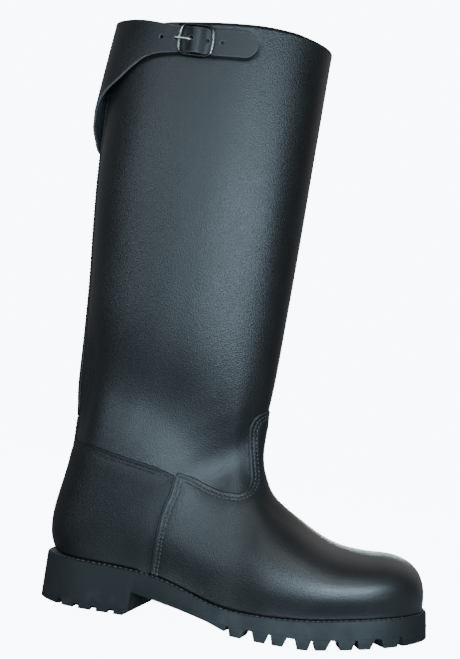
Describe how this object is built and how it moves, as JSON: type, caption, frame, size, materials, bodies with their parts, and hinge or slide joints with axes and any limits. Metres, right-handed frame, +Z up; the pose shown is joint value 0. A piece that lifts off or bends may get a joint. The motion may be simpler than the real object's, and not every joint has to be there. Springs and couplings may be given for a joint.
{
  "type": "tall boot",
  "caption": "Tall pull-on black leather boot for the right foot, with a lugged rubber sole and a buckled strap round the top of the shaft.",
  "frame": {"origin": "on the floor, under the middle of the boot's bounding box", "axes": "+X towards the toe, +Y towards the inner side of the foot, +Z up along the shaft"},
  "size_m": [0.3214, 0.113, 0.4611],
  "materials": {
    "rubber": "matt moulded rubber",
    "insole_leather": "plain brown insole board",
    "black_leather": "black, fine grained, satin",
    "nickel": "dark nickel plate"
  },
  "bodies": {
    "root": {"outsole": "rubber", "insole": "insole_leather", "upper": "black_leather", "vamp": "black_leather", "counter": "black_leather", "back_strip": "black_leather", "calf_strap": "black_leather", "buckle": "nickel", "buckle_prong": "nickel"}
  },
  "joints": []
}
